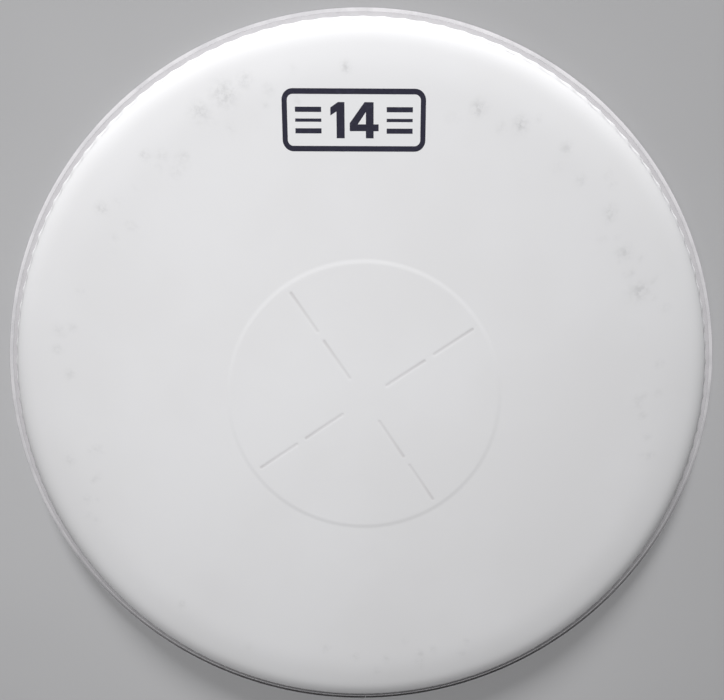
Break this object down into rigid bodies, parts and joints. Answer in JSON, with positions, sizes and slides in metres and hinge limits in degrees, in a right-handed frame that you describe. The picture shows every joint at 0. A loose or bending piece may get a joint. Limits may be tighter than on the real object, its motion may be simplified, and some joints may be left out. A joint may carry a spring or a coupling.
{
  "type": "drum head",
  "caption": "Coated snare-drum batter head: flat white film with a moulded collar, a slotted centre reinforcement dot and an aluminium flesh hoop that seats over the shell.",
  "frame": {"origin": "centre of the hoop's base plane, on the drum's axis", "axes": "+Z along the drum's axis from the hoop's base to the playing face; +Y to the side that is up in the picture, where the printed size mark is"},
  "size_m": [0.3682, 0.3682, 0.0198],
  "materials": {
    "hoop_aluminium": "roll-formed, satin",
    "resin": "cast, slightly dished",
    "film": "smooth polyester film",
    "adhesive": "clear bond layer",
    "coating": "sprayed, fine grain"
  },
  "bodies": {
    "root": {"flesh_hoop": "hoop_aluminium", "hoop_joiner": "hoop_aluminium", "hoop_resin": "resin", "film_ply": "film", "dot_adhesive": "adhesive", "centre_dot": "film", "top_coating": "coating"}
  },
  "joints": []
}
